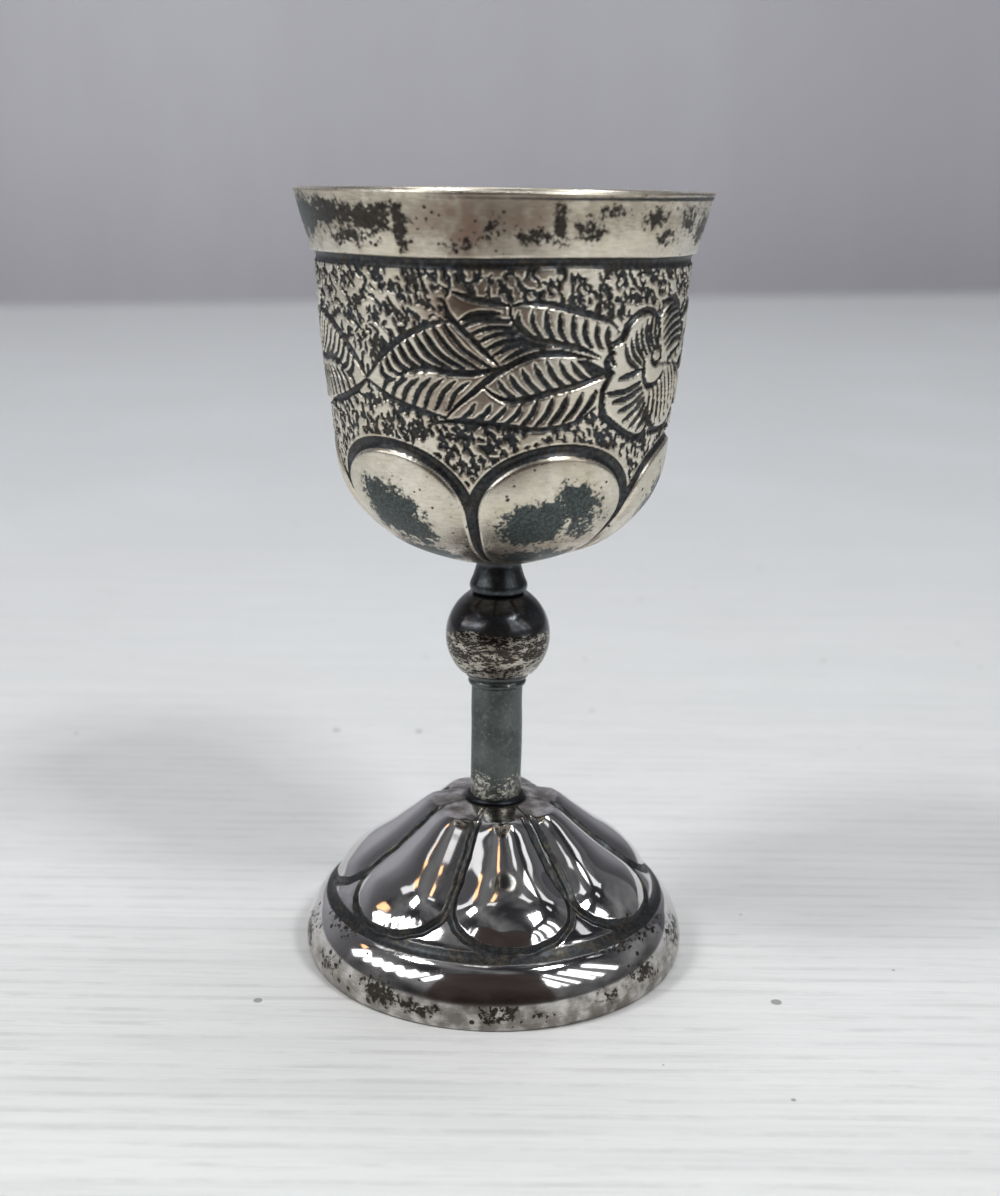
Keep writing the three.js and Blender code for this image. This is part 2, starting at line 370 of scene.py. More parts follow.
FLOWER_HATCHING = [
    (7, [(-0.5, 4.6), (-1.4, 4.3), (-2.8, 3.5), (-3.9, 2.4), (-4.6, 1.8)],
     [(-0.3, 2.2), (-0.9, 1.9), (-1.9, 1.2), (-2.5, 0.5), (-3, 0)], -0.35),
    (6, [(0.9, 4.6), (1.1, 3.4), (1.4, 2.3), (2.2, 1.3)],
     [(3, 5.3), (4.1, 4.5), (4.8, 3.3), (5.2, 2)], 0.4),
    (6, [(-6.2, -2.3), (-5, -3.4), (-4.3, -4.4), (-3.3, -5.4), (-1.8, -6.1)],
     [(-2.6, -1.7), (-2.2, -2.4), (-1.8, -3.1), (-1.3, -3.8), (-0.8, -4.4)], -0.3),
    (8, [(-0.5, -2.8), (0.3, -2.5), (1.1, -2.1), (2, -1.4), (3, -0.8), (4.3, -0.4)],
     [(-0.7, -5.2), (0.4, -5.5), (1.6, -5.4), (3, -4.9), (4.5, -4), (5.9, -2.6)], 0.35),
]


def on_cup(azimuth, degrees_per_mm):
    """A function that turns points of the drawing into (azimuth, z) points on the cup."""
    def place(points):
        p = np.asarray(points, float)
        return np.column_stack([azimuth + p[:, 0] * degrees_per_mm, FRIEZE_Z + p[:, 1]])
    return place


def hatching(chasing, place, strokes):
    """Rows of curved strokes, each from one curve to another."""
    for count, starts, ends, bow in strokes:
        edges = [catmull(starts), catmull(ends)]
        first, last = [resample(edge, length_along(edge)[-1] / (count - 1)) for edge in edges]
        for a, b in zip(first, last):
            a, b = a + 0.12 * (a - b), b + 0.14 * (b - a)
            across = np.array([a[1] - b[1], b[0] - a[0]])
            middle = (a + b) / 2 + bow * across / np.hypot(*across)
            wobble = RNG.uniform(-0.06, 0.06, 2)
            width = HATCH_HALF * RNG.uniform(0.88, 1.1)
            chasing.groove(place([a, middle + wobble, b]), width, HATCH_DEPTH, taper=(0.35, 0.7))


def spray(chasing, tip, flower):
    """One spray of leaves, from its tip to the flower it grows from."""
    place = on_cup(tip, (flower - tip) / SPRAY_LENGTH)
    chasing.leave_plain(place(SPRAY_OUTLINE))
    for line in SPRAY_LINES:
        chasing.groove(place(line), LINE_HALF, LINE_DEPTH)
    hatching(chasing, place, SPRAY_HATCHING)


def flower(chasing, azimuth):
    """A flower with rounded petals, a ring and a drop in its middle."""
    place = on_cup(azimuth, (FRONT_FLOWER - FRONT_TIP) / SPRAY_LENGTH)
    for petal in FLOWER_PETALS:
        chasing.leave_plain(place(petal + [(0, 0)]))
        chasing.groove(place(petal), LINE_HALF, LINE_DEPTH, taper=(0.6, 0.6))
    hatching(chasing, place, FLOWER_HATCHING)
    for line in FLOWER_LINES:
        chasing.groove(place(line), 0.3, 0.38)
    ring = place([(0.8 * math.cos(a), 0.8 + 0.8 * math.sin(a)) for a in np.linspace(0, 2 * math.pi, 13)])
    chasing.leave_plain(ring)
    chasing.groove(ring, 0.28, 0.35, taper=(1, 1))


def matting(chasing, low, high, count):
    """Small curved punch marks all over the ground, leaning the way they were struck."""
    for _ in range(count):
        azimuth = RNG.uniform(0, 360)
        z = RNG.uniform(low, high)
        row = min(np.searchsorted(chasing.heights, z), len(chasing.heights) - 1)
        if chasing.plain[row, int(azimuth / 360 * chasing.columns) % chasing.columns]:
            continue
        lean = math.radians(RNG.normal(-58, 28))
        step = np.array([math.cos(lean), math.sin(lean)]) * RNG.uniform(0.22, 0.5)
        side = np.array([-step[1], step[0]]) * RNG.uniform(-0.7, 0.7)
        points = np.array([-step, side, step])
        points[:, 0] /= math.radians(MATTING_R)
        chasing.groove(points + (azimuth, z), RNG.uniform(0.14, 0.24), 0.2, (0.6, 0.4), per_span=3)


# ---- the cup

CUP_COLUMNS = 720
LOBES = 6
FIRST_LOBE = 20
LOBE_SHOULDER_Z = 50
LOBE_TOP_Z = 57
LIP_GROOVE_Z = 73.7
FRONT_TIP = -45
FRONT_FLOWER = 54
BACK_FLOWER = 225
BACK_TIP = (FRONT_FLOWER + BACK_FLOWER) / 2
MARKS_STRUCK = 8200

# from this height, to this height, rows this far apart
CUP_ROWS = [(CUP_BASE_Z, 44.7, 0.4), (44.7, 57.5, 0.2), (57.5, 74.6, 0.145), (74.6, RIM_Z, 0.3)]


def cup_outline():
    """The outside from the axis to the rim, with finer rows where the chasing is."""
    wall = catmull([(2.3, CUP_BASE_Z), (6.6, 44.3), (11.1, 46.25), (14.1, 49), (15.85, 52), (16.9, 56.5),
                    (17.55, 61.4), (18.1, 66.5), (18.7, 73), (18.95, 74.4), (19.6, 76.7), (20.2, 78.8),
                    (RIM_R - 0.02, RIM_Z - 0.35)])
    rows = []
    for low, high, spacing in CUP_ROWS:
        high = min(high, wall[-1, 1])
        piece = wall[(wall[:, 1] > low) & (wall[:, 1] < high)]
        start, end = [(np.interp(z, wall[:, 1], wall[:, 0]), z) for z in (low, high)]
        rows.append(resample(np.vstack([start, piece, end]), spacing)[:-1])
    centre = np.column_stack([np.linspace(0, 2.3, 5)[:-1], np.full(4, CUP_BASE_Z)])
    return np.vstack([centre] + rows + [wall[-1:]])


def lobe_margin(azimuth, z, r):
    """Distance in mm from the line round a lobe, positive inside the lobe."""
    half = 180 / LOBES
    offset = offset_from(azimuth, FIRST_LOBE, LOBES)
    arch = round_end(half, LOBE_SHOULDER_Z, LOBE_TOP_Z, math.pi, 41)
    line = np.vstack([(half, CUP_BASE_Z), arch, (-half, CUP_BASE_Z)])
    nearest = line_distance(offset, z, line, r)
    return np.where(within_end(offset, z, half, LOBE_SHOULDER_Z, LOBE_TOP_Z), nearest, -nearest)


def blob(azimuth, z, spots):
    """A soft map from (azimuth, z, half width in degrees, half height in mm, strength): tarnish and stains,
    and in places a painted reflection.
    """
    total = np.zeros(np.broadcast(azimuth, z).shape)
    for a, height, wide, tall, strength in spots:
        away = (((azimuth - a + 180) % 360 - 180) / wide) ** 2 + ((z - height) / tall) ** 2
        total = np.maximum(total, strength * np.exp(-away))
    return total


LIP_TARNISH = [
    (-72, 77.4, 20, 2.4, 1.3), (-54, 78, 16, 1.8, 1.2), (-45, 75.8, 16, 1.2, 1), (-36, 77.4, 12, 2.3, 1.1),
    (-28, 76.9, 3.6, 3, 1.15), (-12, 75.3, 12, 1, 0.75), (-3, 76.8, 3.4, 1.7, 1),
    (9, 76.2, 11, 0.9, 1.15), (14.5, 77.2, 3, 3, 1.15), (23, 76.8, 8, 1.5, 1), (29, 78.3, 7, 1.1, 0.85),
    (43, 77.8, 7, 1.6, 1), (50, 76, 8, 1.3, 0.95), (60, 77.6, 8, 2, 0.9), (73, 76.8, 12, 2.2, 1),
    (120, 77, 24, 2, 1.1), (165, 76.5, 15, 2.2, 1.1), (200, 77.5, 20, 2, 1.1), (250, 77, 16, 2.4, 1.15),
]
LIP_GREY = [(-78, 77, 16, 2, 1.4)]
LIP_FILM = [(-70, 77.4, 26, 3, 0.55), (-22, 77.6, 12, 3, 0.55), (-3, 77.8, 18, 2.8, 0.95),
            (25, 77.5, 14, 2, 0.45), (190, 77, 40, 3, 0.5)]
# stains on the cup; on the front of the lip, round azimuth -10, they are a painted reflection of the brown
# cloth in front of the cup
STAINS_AND_REFLECTION = [
    (-12, 69.5, 14, 3, 0.9), (-4, 65, 12, 3, 0.6), (-14, 61.5, 12, 1.6, 0.75), (2, 59.6, 14, 1, 0.6),
    (-10, 77.3, 11, 3.4, 1.1), (6, 77.8, 9, 2, 0.8), (27, 56.5, 14, 1.2, 0.5), (20, 46, 60, 2.2, 0.8),
    (-60, 46, 40, 2, 0.7), (140, 66, 20, 4, 0.6), (200, 61, 18, 4, 0.7), (170, 46, 80, 2, 0.8),
    (230, 78, 30, 2, 0.5),
]
LOBE_TARNISH = [
    (-41, 50.2, 14, 3.4, 1.55), (-47, 52, 10, 2.2, 1.25), (-34, 48.4, 10, 2.2, 1.25),
    (13, 49.7, 16, 2.8, 1.5), (26, 51.9, 11, 2.6, 1.4), (20, 50.8, 8, 2.2, 1.35),
    (31, 49.6, 18, 2.6, 0.9), (20, 45.8, 30, 1.6, 1.2), (-40, 45.8, 30, 1.6, 1.15),
    (80, 50.5, 17, 3.6, 1.4), (142, 50.5, 19, 3.4, 1.5), (200, 50, 17, 3.8, 1.35),
    (258, 50.5, 18, 3.6, 1.5), (140, 45.8, 80, 1.6, 1),
]


def cup():
    outside = cup_outline()
    first = np.searchsorted(outside[:, 1], CUP_BASE_Z + 0.2)
    chasing = Chasing(CUP_COLUMNS, outside[first:, 1], outside[first:, 0])
    azimuth = chasing.azimuth[None, :]
    z, r = chasing.heights[:, None], chasing.radii[:, None]

    # lobes: a crowned plain surface inside a broad groove
    margin = lobe_margin(azimuth, z, r)
    groove_half = 0.78 - 0.26 * smoothstep(52, 45, z)
    lobe_cut = 0.5 * trough(margin, groove_half, 1.1)
    crown = 0.32 * (1 - np.exp(-np.clip(margin - 0.3, 0, None) / 1.4))
    chasing.plain |= margin > -groove_half

    for tip, root in ((FRONT_TIP, FRONT_FLOWER), (FRONT_TIP, BACK_FLOWER - 360),
                      (BACK_TIP, FRONT_FLOWER), (BACK_TIP, BACK_FLOWER)):
        spray(chasing, tip, root)
    flower(chasing, FRONT_FLOWER)
    flower(chasing, BACK_FLOWER)
    drawn = chasing.cut.copy()
    chasing.cut[:] = 0
    matting(chasing, 48, LIP_GROOVE_Z - 0.4, MARKS_STRUCK)
    on_ground = ~chasing.plain & (z < LIP_GROOVE_Z - 0.2) & (margin < -0.3)
    struck = np.where(on_ground, chasing.cut, 0)

    turn = np.radians(azimuth)
    wobble = 0.1 * np.sin(np.radians(azimuth * 2 + 40)) + 0.05 * np.sin(turn * 5)
    lip_line = trough(z - LIP_GROOVE_Z - wobble, 0.58, 0.7)
    rim_line = trough(z - 79.4, 0.34) * (0.55 + 0.45 * np.sin(turn + 0.3))
    ground = 0.14 * (~chasing.plain & (z < LIP_GROOVE_Z))
    cut = np.maximum.reduce([drawn, struck + ground, lobe_cut, 0.4 * lip_line])

    # slow unevenness of hand work
    dents = 0.05 * np.sin(turn * 7) * np.sin(z * 0.9) + 0.04 * np.sin(np.radians(azimuth * 13 + z * 30))
    relief = np.where(margin > 0, crown, 0) - cut + 0.4 * (dents - 0.09) * smoothstep(44, 50, z)
    oxide = np.maximum.reduce([
        smoothstep(0.02, 0.12, drawn), smoothstep(0.03, 0.12, struck), smoothstep(0.1, 0.3, lobe_cut),
        smoothstep(0.2, 0.6, lip_line), 0.8 * rim_line])
    lip_spots = np.maximum(blob(azimuth, z, LIP_TARNISH), 0.34 * smoothstep(74, 75, z))
    lobe_spots = np.maximum(blob(azimuth, z, LOBE_TARNISH) * (margin > 0.5), 0.3 * (margin > 0.8))
    film = 0.32 + 0.4 * smoothstep(75.4, 77.4, z) + 0.6 * smoothstep(48.5, 44.8, z)
    film = film + blob(azimuth, z, LIP_FILM)
    grey = np.maximum((z < 58) * (margin > 0), blob(azimuth, z, LIP_GREY))

    inside = outside.copy() - normals(outside) * SHEET
    inside[0] = (0, CUP_BASE_Z + SHEET)
    inside = resample(catmull(inside[inside[:, 1] < RIM_Z - 0.5][::12], 4), 0.6)
    inside = inside[inside[:, 1] < RIM_Z - 0.7]
    rim = [(RIM_R, RIM_Z - 0.18), (RIM_R - 0.09, RIM_Z - 0.04), (RIM_R - 0.26, RIM_Z),
           (RIM_R - 0.45, RIM_Z - 0.03), (RIM_R - 0.6, RIM_Z - 0.15), (RIM_R - 0.68, RIM_Z - 0.4)]
    outline = np.vstack([outside, rim, inside[::-1]])
    outline[-1] = (0, CUP_BASE_Z + SHEET)

    shape = (len(outline), CUP_COLUMNS)
    attributes = {
        "oxide": spread(oxide, shape, first),
        "tarnish": spread(np.maximum(lip_spots, lobe_spots), shape, first, 0.3),
        "film": spread(film, shape, first, 0.45),
        "stain_and_painted_shade": spread(blob(azimuth, z, STAINS_AND_REFLECTION), shape, first),
        "grey": spread(grey, shape, first),
    }
    return revolve("bowl_chased", outline, spread(relief, shape, first), attributes, closed=False)


# ---- the foot

FOOT_COLUMNS = 770
FOOT_ROW_SPACING = 0.16
SMOOTHING = 56
PETALS = 7
FIRST_PETAL = 7.7
PETAL_SHOULDER_Z = 10.4
PETAL_FOOT_Z = 7.05
ROLL_Z = PETAL_FOOT_Z - 0.3
DOUBLE_LINES = (33.4, 187.7)
LINE_SHARE = 0.1
FOOT_LINE_HALF = 0.46

FOOT_TARNISH = [
    (-76, 3, 12, 3, 1.05), (-56, 2.6, 10, 2, 0.95), (-33, 2.4, 13, 1.9, 1.1), (-21, 1.8, 11, 1.4, 1.05),
    (2, 2, 9, 1.6, 1.1), (14, 1.7, 8, 1, 0.85), (35, 2.4, 9, 1.4, 1), (50, 3, 11, 1.7, 1.1),
    (76, 3.6, 15, 2.6, 0.95), (-60, 6.2, 20, 1.2, 0.95), (-30, 6.3, 16, 0.9, 0.85), (40, 6.2, 20, 1.1, 0.95),
    (62, 6, 15, 1.4, 1), (120, 2.5, 18, 1.8, 1.05), (170, 3, 14, 2, 1), (215, 2.4, 18, 1.8, 1.1),
    (255, 3, 12, 2.4, 1.05),
]


def foot_outline():
    """The outside from the edge on the table up to the hole under the tube."""
    wall = catmull([(20.15, 0.12), (20.42, 0.8), (FOOT_R - 0.04, 1.7), (20.2, 3.1), (19.6, 4.5), (18.6, 5.95),
                    (17.6, 7), (16.5, 8.1), (15, 9.45), (12.9, 11.05), (11.2, 12.2), (9.7, 13.45),
                    (8.6, 14.35), (7.75, 15.15), (7.1, 15.75), (6.4, 16.22), (5.6, 16.52), (4.6, 16.72),
                    (3.6, PLATEAU_Z)])
    wall = resample(wall, FOOT_ROW_SPACING)
    for _ in range(SMOOTHING):
        wall[1:-1] = 0.25 * wall[:-2] + 0.5 * wall[1:-1] + 0.25 * wall[2:]
    return np.vstack([wall, [(2.4, PLATEAU_Z), (BORE_R, PLATEAU_Z)]])


def petal_margin(azimuth, r, along, shoulder, end):
    """Distance in mm from the line round a petal, positive inside, with its lower end round.

    Comes twice: as it is, and softened along the petal's middle for its swell.
    """
    half = 180 / PETALS
    offset = offset_from(azimuth, FIRST_PETAL, PETALS)
    line = np.vstack([(half, along.max()), round_end(half, shoulder, end, math.pi / 2, 25)])
    right, left = [line_distance(side * offset, along, line, r) for side in (1, -1)]
    inside = within_end(offset, along, half, shoulder, end)
    nearest = np.minimum(right, left)
    reach = 2.6 * smoothstep(end, end + 4, along) + 1e-6
    share = np.clip(0.5 + 0.5 * (left - right) / reach, 0, 1)
    softened = left + share * (right - left) - reach * share * (1 - share)
    return np.where(inside, nearest, -nearest), np.where(inside, softened, 0)


def foot():
    outside = foot_outline()
    along = length_along(outside)
    z, r, s = outside[:, 1][:, None], outside[:, 0][:, None], along[:, None]
    azimuth = azimuths(FOOT_COLUMNS)[None, :]
    turn = np.radians(azimuth)
    shoulder, end, roll = np.interp((PETAL_SHOULDER_Z, PETAL_FOOT_Z, ROLL_Z), outside[:, 1], along)
    margin, swell = petal_margin(azimuth, r, s, shoulder, end)

    # neighbours share one line; in places the tool went down either side and left a ridge
    fade = smoothstep(5.7, 6.7, r)
    narrow = smoothstep(0, 3.2, math.radians(180 / PETALS) * r)
    split = sum(np.exp(-((azimuth - place) / 11) ** 2) for place in DOUBLE_LINES)
    line_place = LINE_SHARE + 0.5 * split * smoothstep(9.6, 12.5, z)
    wander = 0.04 * np.sin(turn * 31 + s * 1.7) + 0.03 * np.sin(turn * 53 - s * 2.9)
    from_line = margin - line_place + wander
    groove = trough(from_line, FOOT_LINE_HALF, 2)
    crown = 0.95 * (1 - np.exp(-(np.clip(swell - line_place, 0, None) / 2.2) ** 1.5))
    hollow = trough(s - roll, 1.3, 2)
    under_petals = smoothstep(0.3, -0.3, margin)
    on_dome = smoothstep(ROLL_Z - 0.5, ROLL_Z + 0.1, z)
    relief = on_dome * fade * narrow * (crown - 0.32 * groove)
    relief -= 0.15 * hollow * under_petals
    relief -= 0.12 * under_petals * on_dome
    relief += 0.04 * (np.sin(np.radians(azimuth * 3 + 20)) - 1) * smoothstep(1, 3, z)

    in_line = smoothstep(0.66, 0.38, np.abs(from_line)) * fade * on_dome
    solder = 0.7 * smoothstep(4.5, 3, r)
    oxide = np.maximum.reduce([in_line, 0.9 * hollow * under_petals, solder + 0 * turn])
    spots = np.maximum(0.84 * blob(azimuth, z, FOOT_TARNISH), 0.2 * smoothstep(4.5, 1, z))
    film = 0.85 * smoothstep(5.2, 1.8, z) + 0.95 * smoothstep(PLATEAU_Z - 1.1, PLATEAU_Z - 0.1, z)
    # painted shade and reflection: the plateau, the flats between the petals and the lower roll made darker;
    # on the roll it stands in for the reflection of the dark cloth, and is darkest at the front right
    painted_shade = smoothstep(PLATEAU_Z - 1.5, PLATEAU_Z - 0.2, z) + 0.35 * under_petals * on_dome
    painted_shade += (0.5 + 0.4 * np.cos(np.radians(azimuth - 30))) * smoothstep(4.4, 2.4, z)

    inner = outside - normals(outside) * SHEET
    inner[-3:, 1] = PLATEAU_Z - SHEET
    inner_rows = np.arange(len(outside) - 1, -1, -4)
    outline = np.vstack([outside, inner[inner_rows]])
    outline[-1] = (19.5, 0.05)
    shape = (len(outline), FOOT_COLUMNS)
    attributes = {
        "oxide": spread(oxide, shape, elsewhere=0.25),
        "tarnish": spread(spots, shape, elsewhere=0.7),
        "film": spread(film, shape, elsewhere=0.6),
        "stain_and_painted_shade": spread(painted_shade, shape),
    }
    return revolve("foot_shell", outline, np.vstack([relief, -relief[inner_rows]]), attributes)


# ---- stem and fittings

STEM_COLUMNS = 160
KNOP_COLUMNS = 200
KNOP_SHEET = 0.8
PITCH = 0.5
THREAD_LENGTH = 7.5


def uneven(rows, columns, size, seed, turns=(1, 2, 3, 5)):
    """Slow random unevenness over a turned piece, the same each run."""
    rng = np.random.default_rng(seed)
    azimuth = np.radians(azimuths(columns))[None, :]
    row = np.linspace(0, 1, rows)[:, None]
    total = np.zeros((rows, columns))
    for turn in turns:
        phase, tilt = rng.uniform(0, 6.3, 2)
        total += rng.uniform(0.4, 1) * np.sin(turn * azimuth + phase + 3 * np.sin(row * 5 + tilt))
    return size * total / len(turns)


def turned(name, outline, columns, size=0.0, seed=1, attributes=None):
    obj = revolve(name, outline, uneven(len(outline), columns, size, seed), attributes)
    obj.data.set_sharp_from_angle(angle=math.radians(40))
    return obj


def bored(outside, low, high):
    """An outside of (radius, height above low) points, closed along the stem's bore."""
    return np.vstack([[(BORE_R, low)], outside + (0, low), [(BORE_R, high)]])


def moulding(name, node, outside, top_r, seed):
    """A bored piece with a curved outside of (radius, height above its bottom) points."""
    low, high = heights(node)
    outline = bored(catmull(outside + [(top_r, high - low)], 6), low, high)
    return turned(name, outline, STEM_COLUMNS, 0.02, seed)


def stem_collar():
    outside = [(2.5, 0), (2.66, 0.08), (2.9, 0.32), (3, 0.7), (2.97, 1.05), (2.84, 1.4), (2.66, 1.85),
               (2.46, 2.5), (2.32, 3.1)]
    return moulding("stem_collar_turned", "stem_collar", outside, 2.36, 3)


def knop_half(name, node, up):
    low, high = heights(node)
    r = radius(node)
    inner_r = r - KNOP_SHEET
    middle, end = (low, high) if up else (high, low)
    outer = math.degrees(math.asin((end - middle) / r))
    if up:
        bore = math.degrees(math.acos(BORE_R / inner_r))
        outline = np.vstack([arc(middle, r, 0, outer, 40), [(BORE_R, high)],
                             arc(middle, inner_r, bore, 0, 14)])
    else:
        floor = math.degrees(math.asin((end - middle + KNOP_SHEET) / inner_r))
        outline = np.vstack([[(BORE_R, low)], arc(middle, r, outer, 0, 36),
                             arc(middle, inner_r, 0, floor, 14), [(BORE_R, low + KNOP_SHEET)]])
    height = outline[:, 1:] - middle + uneven(len(outline), KNOP_COLUMNS, 0.6, 13)
    # painted reflection: a brown patch at the front, below the middle, where the knop reflects the dark
    # cloth; the patch at the back is wear
    blotches = [(5, middle - 0.8, 26, 1.3, 1), (170, middle - 1, 50, 2, 0.8)]
    attributes = {
        "oxide": np.maximum(smoothstep(0.3, 1.9, height), 0.4 * smoothstep(-3.3, -4, height)),
        "tarnish": 0.86 - 0.2 * smoothstep(-1, -3, height),
        "stain_and_painted_shade": blob(azimuths(KNOP_COLUMNS)[None, :], outline[:, 1:], blotches),
        "film": 1 - 0.3 * smoothstep(-1.5, -3, height),
    }
    return turned(name, outline, KNOP_COLUMNS, attributes=attributes)


def neck_ring():
    outside = [(2.8, 0), (2.98, 0.14), (3.06, 0.4), (2.98, 0.62), (2.96, 0.72), (3.12, 0.88), (3.34, 1.12),
               (3.42, 1.38), (3.36, 1.56)]
    return moulding("neck_ring_turned", "neck_ring", outside, 3.6, 5)


def stem_tube():
    low, high = heights("stem_tube")
    z = np.linspace(0, high - low, 60)
    outside = np.column_stack([TUBE_R - 0.04 + 0.05 * np.exp(-z / 1.6), z])
    outline = bored(outside, low, high)
    bare = smoothstep(4.2, 2.4, outline[:, 1:] - low) + uneven(len(outline), STEM_COLUMNS, 0.5, 15)
    return turned("stem_tube_drawn", outline, STEM_COLUMNS, 0.045, 7, {"bare": bare})


def tube_base_ring():
    low, high = heights("tube_base_ring")
    r = radius("tube_base_ring")
    outline = rounded([(TUBE_R + 0.04, low), (r, low), (r - 0.12, low + 0.3), (TUBE_R + 0.1, high)], 0.15)
    return turned("tube_base_ring_soldered", outline, STEM_COLUMNS, 0.05, 9)


def band(node, inner, fillet):
    """The outline of a plain ring that fills a node's height and radius."""
    low, high = heights(node)
    r = radius(node)
    return rounded([(inner, low), (r, low), (r, high), (inner, high)], fillet)


def edge_ring():
    return turned("edge_ring", band("foot_edge_ring", 18.2, 0.14), 240)


def washer():
    return turned("washer_turned", band("foot_washer", BORE_R, 0.12), 120, 0.01, 11)


def tie_rod():
    """A rod with a cut thread at its lower end: a helix with a triangular section."""
    low, high = heights("tie_rod")
    columns = 48
    thread_top = low + THREAD_LENGTH
    z = np.r_[low + 0.05:thread_top:PITCH / 8, np.linspace(thread_top, high - 0.02, 12)]
    outside = np.column_stack([np.full(len(z), ROD_R - 0.02), z])
    outline = np.vstack([(0, low), (ROD_R - 0.4, low), outside, (0, high - 0.02)])
    phase = ((outline[:, 1:] - low) / PITCH + azimuths(columns) / 360) % 1
    threaded = (outline[:, :1] > ROD_R - 0.1) & (outline[:, 1:] < thread_top)
    return revolve("tie_rod_threaded", outline, -0.26 * np.abs(2 * phase - 1) * threaded, closed=False)


def nut():
    """A hexagon nut with chamfered corners and a countersunk bore."""
    low, high = heights("retaining_nut")
    corner, flat = box_mm("retaining_nut")[1][:2]
    bore, sunk, face, edge = 1.58, 1.83, 4.05, 4.4
    # a corner lies on +X, azimuth 90
    from_flat = np.radians((azimuths(192) - 90) % 60 - 30)
    hexagon = np.minimum(flat / np.cos(from_flat), corner - 0.06)
    # how far the piece reaches at each height, before the hexagon is cut
    profile = np.array([
        (sunk, low), (face, low), (edge, low + 0.3), (corner, low + 0.62), (corner, high - 0.62),
        (edge, high - 0.3), (face, high), (sunk, high), (bore, high - 0.3), (bore, low + 0.3)])
    obj = grid_object("nut_hexagon", np.minimum(profile[:, :1], hexagon), profile[:, 1:])
    bevel = obj.modifiers.new("edges", "BEVEL")
    bevel.width = 0.08 * MM
    bevel.segments = 2
    bevel.limit_method = "ANGLE"
    bevel.angle_limit = math.radians(28)
    obj.data.set_sharp_from_angle(angle=math.radians(32))
    return obj


# ---- materials

class Signal:
    """A number passed between nodes, so that sums and products can be written as usual."""

    def __init__(self, nodes, socket):
        self.nodes = nodes
        self.socket = socket

    def __add__(self, other):
        return self.nodes.math("ADD", self, other)

    def __sub__(self, other):
        return self.nodes.math("SUBTRACT", self, other)

    def __rsub__(self, other):
        return self.nodes.math("SUBTRACT", other, self)

    def __mul__(self, other):
        return self.nodes.math("MULTIPLY", self, other)

    __radd__ = __add__
    __rmul__ = __mul__


class Nodes:
    """Short-hand for building the node tree of a material or a world."""

    def __init__(self, owner, coordinate="Object"):
        owner.use_nodes = True
        self.owner = owner
        self.tree = owner.node_tree
        self.place = self.add("ShaderNodeTexCoord").outputs[coordinate]

    def add(self, kind, inputs=None, **settings):
        node = self.tree.nodes.new(kind)
        for key, value in settings.items():
            setattr(node, key, value)
        for key, value in (inputs or {}).items():
            self.feed(node.inputs[key], value)
        return node

    def feed(self, socket, value):
        if isinstance(value, Signal):
            value = value.socket
        if isinstance(value, bpy.types.NodeSocket):
            self.tree.links.new(value, socket)
        elif socket.type == "RGBA":
            socket.default_value = (*value, 1)
        else:
            socket.default_value = value

    def signal(self, kind, output, inputs, **settings):
        return Signal(self, self.add(kind, inputs, **settings).outputs[output])

    def noise(self, scale, detail, rough, stretch=None, seed=0.0):
        place = self.place
        if stretch:
            place = self.add("ShaderNodeMapping", {"Vector": place, "Scale": stretch}).outputs["Vector"]
        inputs = {"Vector": place, "Scale": scale, "Detail": detail, "Roughness": rough, "W": seed}
        return self.signal("ShaderNodeTexNoise", "Fac", inputs, noise_dimensions="4D")

    def cells(self, scale, **settings):
        """The distance from the middle of the nearest cell, and two random numbers for the cell."""
        cells = self.add("ShaderNodeTexVoronoi", {"Vector": self.place, "Scale": scale}, **settings)
        chance = self.add("ShaderNodeSeparateColor", {0: cells.outputs["Color"]}).outputs
        return [Signal(self, out) for out in (cells.outputs["Distance"], chance["Red"], chance["Green"])]

    def attribute(self, name):
        return self.signal("ShaderNodeAttribute", "Fac", {}, attribute_name=name)

    def math(self, operation, a, b=0.0, clamp=False):
        return self.signal("ShaderNodeMath", 0, {0: a, 1: b}, operation=operation, use_clamp=clamp)

    def between(self, value, low, high, top=1.0, shape="SMOOTHSTEP"):
        """0 below low, top above high."""
        inputs = {"Value": value, "From Min": low, "From Max": high, "To Max": top}
        return self.signal("ShaderNodeMapRange", "Result", inputs, interpolation_type=shape)

    def mix(self, amount, a, b, **settings):
        return self.add("ShaderNodeMix", {0: amount, 6: a, 7: b}, data_type="RGBA", **settings).outputs[2]

    def blend(self, amount, a, b):
        return self.signal("ShaderNodeMix", 0, {0: amount, 2: a, 3: b}, data_type="FLOAT")

    def shader(self, name="Principled BSDF"):
        return self.tree.nodes[name]

    def bump(self, height, strength, distance_mm):
        inputs = {"Height": height, "Strength": strength, "Distance": distance_mm * MM}
        self.feed(self.shader().inputs["Normal"], self.add("ShaderNodeBump", inputs).outputs["Normal"])

    def finish(self, colour, metallic, roughness):
        for name, value in (("Base Color", colour), ("Metallic", metallic), ("Roughness", roughness)):
            self.feed(self.shader().inputs[name], value)
        return self.owner


def new_material(name):
    return Nodes(bpy.data.materials.new(name))


def shaded(colour, factor):
    return tuple(factor * c for c in colour)


SILVER = (0.87, 0.825, 0.72)
SILVER_WARM = (0.77, 0.7, 0.55)
SILVER_COOL = (0.8, 0.79, 0.79)
FILM = (0.34, 0.3, 0.235)
OXIDE = (0.03, 0.032, 0.035)
OXIDE_GREY = (0.08, 0.086, 0.092)
OXIDE_BROWN = (0.082, 0.072, 0.056)
TARNISH = (0.02, 0.016, 0.014)
TARNISH_LIGHT = (0.05, 0.043, 0.036)
GREY_TARNISH = (0.062, 0.074, 0.072)
STAIN_AND_REFLECTION = (0.3, 0.205, 0.16)


